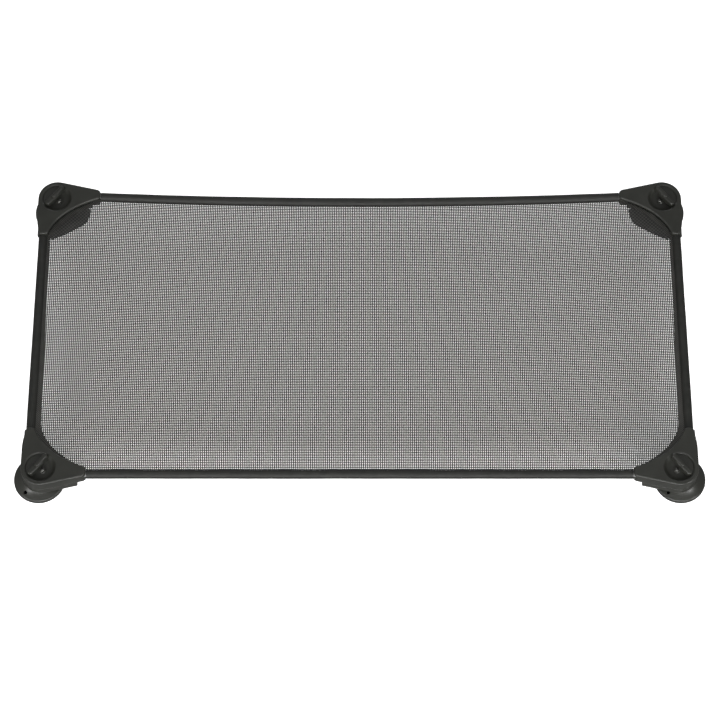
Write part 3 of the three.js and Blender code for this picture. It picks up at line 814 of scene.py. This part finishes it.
# %% Make the four legs
VENT_RADIUS = 3.5
VENT_ANGLE = math.radians(232)


def foot_middle(corner):
    low, high = box_mm(f"foot_ring_{corner}")
    return Vector(((low.x + high.x) / 2, (low.y + high.y) / 2, 0))


def vent(corner):
    out = Vector((math.cos(VENT_ANGLE), math.sin(VENT_ANGLE), 0.9)).normalized()
    middle = foot_middle(corner) + Vector((0, 0, 12))
    middle += (FOOT_RADIUS - 9) * Vector((math.cos(VENT_ANGLE), math.sin(VENT_ANGLE), 0))
    return rod(middle - 7 * out, middle + 12 * out, VENT_RADIUS, 32)


for corner, (x, y) in CORNERS.items():
    middle = foot_middle(corner)
    in_plan = Vector((HALF_LENGTH - x * middle.x, HALF_WIDTH - y * middle.y))
    leg = combined(to_corner(bell_leg(in_plan), corner), ("DIFFERENCE", vent(corner)))
    make_piece(leg, f"bell_leg_{corner}", PLASTIC, [f"leg_{corner}"])

# %% [markdown]
# ## Foot rings
# A rubber ring is pushed into the mouth of each bell. It has a small step round its outside and
# a lip inside that grips the bell. Its section is a closed loop, so one full spin makes it solid.

# %% Make the foot rings
def foot_ring():
    inner = FOOT_RADIUS - 5.5
    top = leg_low.z - 0.3
    profile = [(inner - 1.5, 0), (FOOT_RADIUS - 1, 0), (FOOT_RADIUS - 0.3, 0.3),
               (FOOT_RADIUS, 1.0), (FOOT_RADIUS, 2.0), (FOOT_RADIUS - 0.9, 2.3),
               (FOOT_RADIUS - 0.9, top - 0.3), (FOOT_RADIUS - 1.2, top), (inner, top),
               (inner, ring_high.z), (inner - 1.5, ring_high.z), (inner - 1.5, 0)]
    return turned(profile, 96)


for corner in CORNERS:
    ring = foot_ring()
    bmesh.ops.translate(ring, verts=ring.verts, vec=foot_middle(corner))
    make_piece(ring, f"rubber_ring_{corner}", RUBBER, [f"foot_ring_{corner}"])

# %% [markdown]
# No light gets under a hollow foot, but this floor glows and would shine out of the vents. So a
# dark disc lies on the floor inside each ring. The discs belong to the stage, as the floor does.

# %% Darken the floor inside the rings
SHADE_HEIGHT = 0.02
SHADE_MARGIN = 8.0
SHADE, shade_shader = new_finish("floor_shade", {"Roughness": 0.9, "Specular IOR Level": 0.0})
drive(shade_shader, "Base Color", between(
    SHADE, noise_in(SHADE, place_in(SHADE), 60.0), (0.008, 0.008, 0.008), (0.014, 0.014, 0.014)))


def floor_shade(corner):
    disc = turned([(0, SHADE_HEIGHT), (FOOT_RADIUS - SHADE_MARGIN, SHADE_HEIGHT)], 48)
    bmesh.ops.translate(disc, verts=disc.verts, vec=foot_middle(corner))
    bmesh.ops.scale(disc, vec=(MM, MM, MM), verts=disc.verts)
    mesh = bpy.data.meshes.new(f"foot_shade_{corner}")
    disc.to_mesh(mesh)
    disc.free()
    mesh.materials.append(SHADE)
    lid = bpy.data.objects.new(f"foot_shade_{corner}", mesh)
    scene.collection.objects.link(lid)
    lid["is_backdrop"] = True


for corner in CORNERS:
    floor_shade(corner)
print("floor shades:", len(CORNERS))

# %% [markdown]
# ## Screws
# One screw in each dish holds the corner to its leg, and two from below go through the bracket
# into the tubes. Each is a pan head with a cross recess, turned and then cut.

# %% Make the screws
SCREW_RADIUS = 2.0
HEAD_RADIUS = 3.8
HEAD_HEIGHT = 2.6
turns = random.Random(7)


def pan_screw(length):
    profile = [Vector((0, -length)), Vector((SCREW_RADIUS, 2 - length)), Vector((SCREW_RADIUS, 0)),
               Vector((HEAD_RADIUS, 0)), Vector((HEAD_RADIUS, 0.9))]
    bend(profile, (HEAD_RADIUS - 0.2, HEAD_HEIGHT - 0.1), (0, HEAD_HEIGHT), 7)
    deep = HEAD_HEIGHT - 1.7
    return combined(turned(profile, 40),
                    ("DIFFERENCE", block((-2.1, -0.42, deep), (2.1, 0.42, 4))),
                    ("DIFFERENCE", block((-0.42, -2.1, deep), (0.42, 2.1, 4))))


def place_screw(shape, name, node_name, from_below):
    low, high = box_mm(node_name)
    seat = low.z + HEAD_HEIGHT if from_below else high.z - HEAD_HEIGHT
    place = Matrix.Translation(((low.x + high.x) / 2, (low.y + high.y) / 2, seat))
    place @= Matrix.Rotation(turns.uniform(0, math.pi), 4, "Z")
    if from_below:
        place @= Matrix.Rotation(math.pi, 4, "X")
    bmesh.ops.transform(shape, matrix=place, verts=shape.verts)
    make_piece(shape, name, ZINC, [node_name], 25.0)


for kind in ("cap_screw", "long_tube_screw", "short_tube_screw"):
    low, high = box_mm(f"{kind}_front_left")
    screw_shape = pan_screw(high.z - low.z - HEAD_HEIGHT)
    for corner in CORNERS:
        place_screw(screw_shape.copy(), f"pan_{kind}_{corner}", f"{kind}_{corner}", kind != "cap_screw")

# %% [markdown]
# ## Edge sleeves
# Coated cloth is wrapped round each tube and sewn to the mesh on the inside. A grid is rolled up
# into a tube that follows the bent axis. Slow noise gives it the slight slackness of real cloth,
# and a raised band shows where the cloth laps over itself. The wall is added last.

# %% Tube axes
def bending(x):
    """How far the long tubes have come down and in, as a share of the most at mid length."""
    return 1 - (x / HALF_SPAN) ** 2


def long_axis(side, x):
    edge = HALF_WIDTH - SLEEVE_RADIUS - TUBE_BOW * bending(x)
    return Vector((x, side * edge, TUBE_HEIGHT - TUBE_SAG * bending(x)))


def short_axis(side, y):
    return Vector((side * (HALF_LENGTH - SLEEVE_RADIUS), y, TUBE_HEIGHT))


# %% Make the sleeves
SLEEVE_SIDES = 40
SLEEVE_WALL = 0.5
LAP_RISE = 0.35
LAP_FROM = math.radians(-120)
LAP_TO = math.radians(32)


def lap(angle):
    """How much the lapped cloth stands up at an angle round the tube, from nought to one."""
    inside = min(angle - LAP_FROM, LAP_TO - angle) / math.radians(7)
    return max(0.0, min(1.0, inside))


def edge_sleeve(axis, half_reach, inwards, steps, seed):
    """A rolled-up grid. The grid's X runs along the tube and its Y round it."""
    shape = bmesh.new()
    bmesh.ops.create_grid(shape, x_segments=steps, y_segments=SLEEVE_SIDES, size=1)
    chart = shape.loops.layers.uv.new("Cloth")
    rolled_out = {v: (v.co.x * half_reach, v.co.y * math.pi) for v in shape.verts}
    for vertex, (along, angle) in rolled_out.items():
        slack = 0.3 * noise.noise(Vector((
            0.02 * along, 1.3 * math.cos(angle), 1.3 * math.sin(angle) + seed)))
        radius = SLEEVE_RADIUS - 0.3 + LAP_RISE * lap(angle) + slack
        vertex.co = axis(along) + radius * (
            math.cos(angle) * Vector(inwards) + math.sin(angle) * Vector((0, 0, 1)))
    for face in shape.faces:
        for loop in face.loops:
            along, angle = rolled_out[loop.vert]
            loop[chart].uv = (along, SLEEVE_RADIUS * angle)
    bmesh.ops.remove_doubles(shape, verts=shape.verts, dist=1e-3)
    bmesh.ops.recalc_face_normals(shape, faces=shape.faces)
    bmesh.ops.solidify(shape, geom=shape.faces[:], thickness=SLEEVE_WALL)
    return shape


for seed, (name, side) in enumerate((("front", -1), ("back", 1))):
    shape = edge_sleeve(lambda x, side=side: long_axis(side, x), HALF_SPAN - 0.6,
                        (0, -side, 0), 160, 5 * seed)
    make_piece(shape, f"edge_sleeve_{name}", CLOTH, [f"{name}_sleeve"])
for seed, (name, side) in enumerate((("left", -1), ("right", 1))):
    shape = edge_sleeve(lambda y, side=side: short_axis(side, y), HALF_WIDTH - EAR_SHORT - 0.6,
                        (-side, 0, 0), 70, 20 + 5 * seed)
    make_piece(shape, f"edge_sleeve_{name}", CLOTH, [f"{name}_sleeve"])

# %% Finish the bare tubes
for name in ("front_tube", "back_tube", "left_tube", "right_tube"):
    tube_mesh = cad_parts[name].data
    tube_mesh.materials.clear()
    tube_mesh.materials.append(PAINT)
print("painted tubes: 4")

# %% [markdown]
# ## The mesh sling
# The sling is real yarn, not a painted sheet, so that the floor shows through its holes from
# every side. One grid makes all the yarns that run one way: three columns of points to a yarn, its
# two edges and its raised middle, and the faces between one yarn and the next are deleted.
# A yarn stops where the corner mouldings are solid, and its ends are tucked into the sleeves.

# %% The sling's surface
PITCH = 3.6
YARN_WIDTH = 2.03
YARN_CROWN = 0.25
WARP_LIFT = 0.3
SLING_SAG = 8.0
GRAIN_BOW = 3.0
HALF_X = HALF_LENGTH - 2 * SLEEVE_RADIUS
HALF_Y = HALF_WIDTH - 2 * SLEEVE_RADIUS
TUCK = 1.5


def sling_point(s, t, lift):
    """A place on the sling. s and t run from -1 to 1 along it and across it."""
    x = s * HALF_X + GRAIN_BOW * s * (1 - s * s) * (1 - 2 * t * t)
    slack = max(bending(x), 0.0)
    y = t * (HALF_Y - TUBE_BOW * slack)
    z = TUBE_HEIGHT - TUBE_SAG * slack - SLING_SAG * (1 - s ** 4) * (1 - t * t)
    return Vector((x, y, z + lift))


def notch(a, ear_a, ear_b, hub_a, hub_b):
    """How far in the mesh begins, a millimetres in from the bed's edge the other way."""
    clear = RECESS_RADIUS + HUB_WALL + 1
    strip = 2 * SLEEVE_RADIUS + 2
    begins = 2 * SLEEVE_RADIUS - TUCK
    if a < ear_a - 1:
        begins = strip
    if a < strip:
        begins = ear_b - 1
    if abs(a - hub_a) < clear:
        begins = max(begins, hub_b + math.sqrt(clear ** 2 - (a - hub_a) ** 2))
    return begins


# %% Weave the sling
def weft_reach(s):
    """Half the reach across the bed of a yarn at s, as a share of the half width."""
    begins = notch(HALF_LENGTH - abs(s) * HALF_X, EAR_LONG, EAR_SHORT, HUB.x, HUB.y)
    return (HALF_WIDTH - begins) / HALF_Y


def warp_reach(t):
    begins = notch(HALF_WIDTH - abs(t) * HALF_Y, EAR_SHORT, EAR_LONG, HUB.y, HUB.x)
    return (HALF_LENGTH - begins) / HALF_X


def yarns(shape, chart, count, crossed, steps, reach, place, lift, pitch_share):
    """Adds the count yarns that run one way, all at one lift; their map counts the crossings they pass."""
    columns = 3 * count - 1
    made = bmesh.ops.create_grid(shape, x_segments=columns, y_segments=steps, size=1)["verts"]
    spot, column_of = {}, {}
    for vertex in made:
        column = round((vertex.co.x + 1) / 2 * columns)
        share = vertex.co.y
        yarn, side = divmod(column, 3)
        centre = (yarn + 0.5) / count * 2 - 1
        end = share * reach(centre)
        spot[vertex] = (yarn, (end + 1) / 2 * crossed - 0.5)
        column_of[vertex] = column
        offset = (side - 1) * pitch_share
        vertex.co = place(centre + offset, end, lift + (YARN_CROWN if side == 1 else 0.0))
    gaps = []
    for face in {f for v in made for f in v.link_faces}:
        if min(column_of[v] for v in face.verts) % 3 == 2:
            gaps.append(face)
        for loop in face.loops:
            loop[chart].uv = spot[loop.vert]
    bmesh.ops.delete(shape, geom=gaps, context="FACES_ONLY")


def weave_sling():
    shape = bmesh.new()
    chart = shape.loops.layers.uv.new("Cloth")
    wefts, warps = round(2 * HALF_X / PITCH), round(2 * HALF_Y / PITCH)
    yarns(shape, chart, wefts, warps, 24, weft_reach,
          lambda s, t, lift: sling_point(s, t, lift), 0.0, YARN_WIDTH / 2 / HALF_X)
    yarns(shape, chart, warps, wefts, 48, warp_reach,
          lambda t, s, lift: sling_point(s, t, lift), WARP_LIFT, YARN_WIDTH / 2 / HALF_Y)
    loose = [e for e in shape.edges if not e.link_faces]
    bmesh.ops.delete(shape, geom=loose, context="EDGES")
    print(f"yarns: {wefts} across and {warps} along")
    return shape


sling = make_piece(weave_sling(), "woven_sling", YARN, ["mesh_sling"], 80.0)

# %% [markdown]
# ## Bound edges
# At each end the mesh is cut to follow the hollow of the corners, and its cut edge is bound with
# a dark tape. The tape runs from one long side round the corner, along the short side and round
# the other corner. It is a strip of grid laid on the sling, wider towards the front.

# %% Bind the two ends
TAPE_FRONT = 11.0
TAPE_BACK = 4.0
TAPE_WALL = 0.5
CORNER_TAPE = 6.5
TAPE_PITCH = 2.2


def sling_height(x, y):
    """The height of the sling's upper side at a place on the bed."""
    slack = max(bending(x), 0.0)
    s, t = x / HALF_X, y / (HALF_Y - TUBE_BOW * slack)
    sag = TUBE_SAG * slack + SLING_SAG * (1 - s ** 4) * (1 - t * t)
    return TUBE_HEIGHT - sag + WARP_LIFT + YARN_CROWN


def corner_curves(width):
    """The outer and inner edge of the tape round a corner, from the long side to the short."""
    inner = 2 * SLEEVE_RADIUS
    outside = [Vector((EAR_LONG + 2, inner - 1))]
    bend(outside, HUB + Vector((0, 24)), (inner - 1, EAR_SHORT + 2), 24)
    inside = [Vector((EAR_LONG + 3, inner + 0.5))]
    bend(inside, HUB + Vector((4 + CORNER_TAPE, 28 + CORNER_TAPE)), (inner + width, EAR_SHORT + 6), 24)
    return outside, inside


def tape_edges(end):
    """The tape's outer and inner edge from the front corner to the back one, on the bed."""
    edges = []
    for front, back in zip(corner_curves(TAPE_FRONT), corner_curves(TAPE_BACK)):
        line = [Vector((end * (HALF_LENGTH - p.x), p.y - HALF_WIDTH)) for p in front]
        line += [Vector((end * (HALF_LENGTH - p.x), HALF_WIDTH - p.y)) for p in reversed(back)]
        edges.append(line)
    return edges


def tape(end):
    outside, inside = tape_edges(end)
    steps = len(outside) - 1
    shape = bmesh.new()
    chart = shape.loops.layers.uv.new("Cloth")
    bmesh.ops.create_grid(shape, x_segments=4, y_segments=steps, size=1)
    spot = {}
    for vertex in shape.verts:
        across, step = (vertex.co.x + 1) / 2, round((vertex.co.y + 1) / 2 * steps)
        flat = outside[step].lerp(inside[step], across)
        spot[vertex] = flat / TAPE_PITCH
        vertex.co = Vector((*flat, sling_height(*flat) + 0.1))
    for face in shape.faces:
        for loop in face.loops:
            loop[chart].uv = spot[loop.vert]
    long_edges = [e for e in shape.edges if e.calc_length() > 20]
    bmesh.ops.subdivide_edges(shape, edges=long_edges, cuts=20)
    bmesh.ops.recalc_face_normals(shape, faces=shape.faces)
    bmesh.ops.solidify(shape, geom=shape.faces[:], thickness=-TAPE_WALL)
    return shape


tapes = [make_piece(tape(end), f"binding_tape_{name}", TAPE)
         for name, end in (("left", -1), ("right", 1))]

# %% [markdown]
# ## Stitching
# The mesh is sewn to the sleeves with a heavy dark thread. Each stitch is a short rounded bar, a
# stretched sphere of a few faces, laid along the seam at an even pitch.

# %% Sew the seams
STITCH_PITCH = 4.4
STITCH_LENGTH = 3.2
STITCH_THICK = 0.9
SEAM_IN = 1.3


def stitched(points):
    """A row of stitches along a line of points, each turned along the line."""
    shape = bmesh.new()
    size = Matrix.Diagonal((STITCH_LENGTH / 2, STITCH_THICK / 2, STITCH_THICK / 2, 1))
    for here, ahead in zip(points, points[1:]):
        turn = (ahead - here).to_track_quat("X", "Z").to_matrix().to_4x4()
        bmesh.ops.create_uvsphere(shape, u_segments=6, v_segments=4, radius=1.0,
                                  matrix=Matrix.Translation((here + ahead) / 2) @ turn @ size)
    return shape


def spaced(low, high):
    count = round((high - low) / STITCH_PITCH)
    return [low + (high - low) * i / count for i in range(count + 1)]


def long_seam(side):
    inner = 2 * SLEEVE_RADIUS + SEAM_IN
    return [Vector((x, side * (HALF_WIDTH - inner - TUBE_BOW * bending(x)),
                    TUBE_HEIGHT - TUBE_SAG * bending(x) + 0.6))
            for x in spaced(2 - HALF_SPAN, HALF_SPAN - 2)]


def short_seam(side, inner):
    reach = HALF_WIDTH - EAR_SHORT - 2
    return [Vector((side * (HALF_LENGTH - inner), y, TUBE_HEIGHT + 0.4)) for y in spaced(-reach, reach)]


def tape_seam(end):
    """Points along the inner edge of a tape, an even pitch apart."""
    line = tape_edges(end)[1]
    points, spare = [], 0.0
    for here, ahead in zip(line, line[1:]):
        length = (ahead - here).length
        while spare < length:
            flat = here.lerp(ahead, spare / length)
            points.append(Vector((*flat, sling_height(*flat) + 0.6)))
            spare += STITCH_PITCH
        spare -= length
    return points


seams = {"front": long_seam(-1), "back": long_seam(1),
         "tape_left": tape_seam(-1), "tape_right": tape_seam(1),
         "left": short_seam(-1, 2 * SLEEVE_RADIUS + SEAM_IN),
         "right": short_seam(1, 2 * SLEEVE_RADIUS + SEAM_IN)}
stitching = [make_piece(stitched(line), f"stitching_{name}", THREAD, (), 80.0)
             for name, line in seams.items()]

# %% [markdown]
# ## The box of everything shown
# The sling is one sheet of mesh, stretched between its sleeves. Its flat size is what it covers
# between the tubes, and the sleeves and stitching are sewn to it.

# %% Print the box of everything shown
low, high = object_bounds()
print("visual box in metres:", [round(x, 4) for x in (*low, *high)])
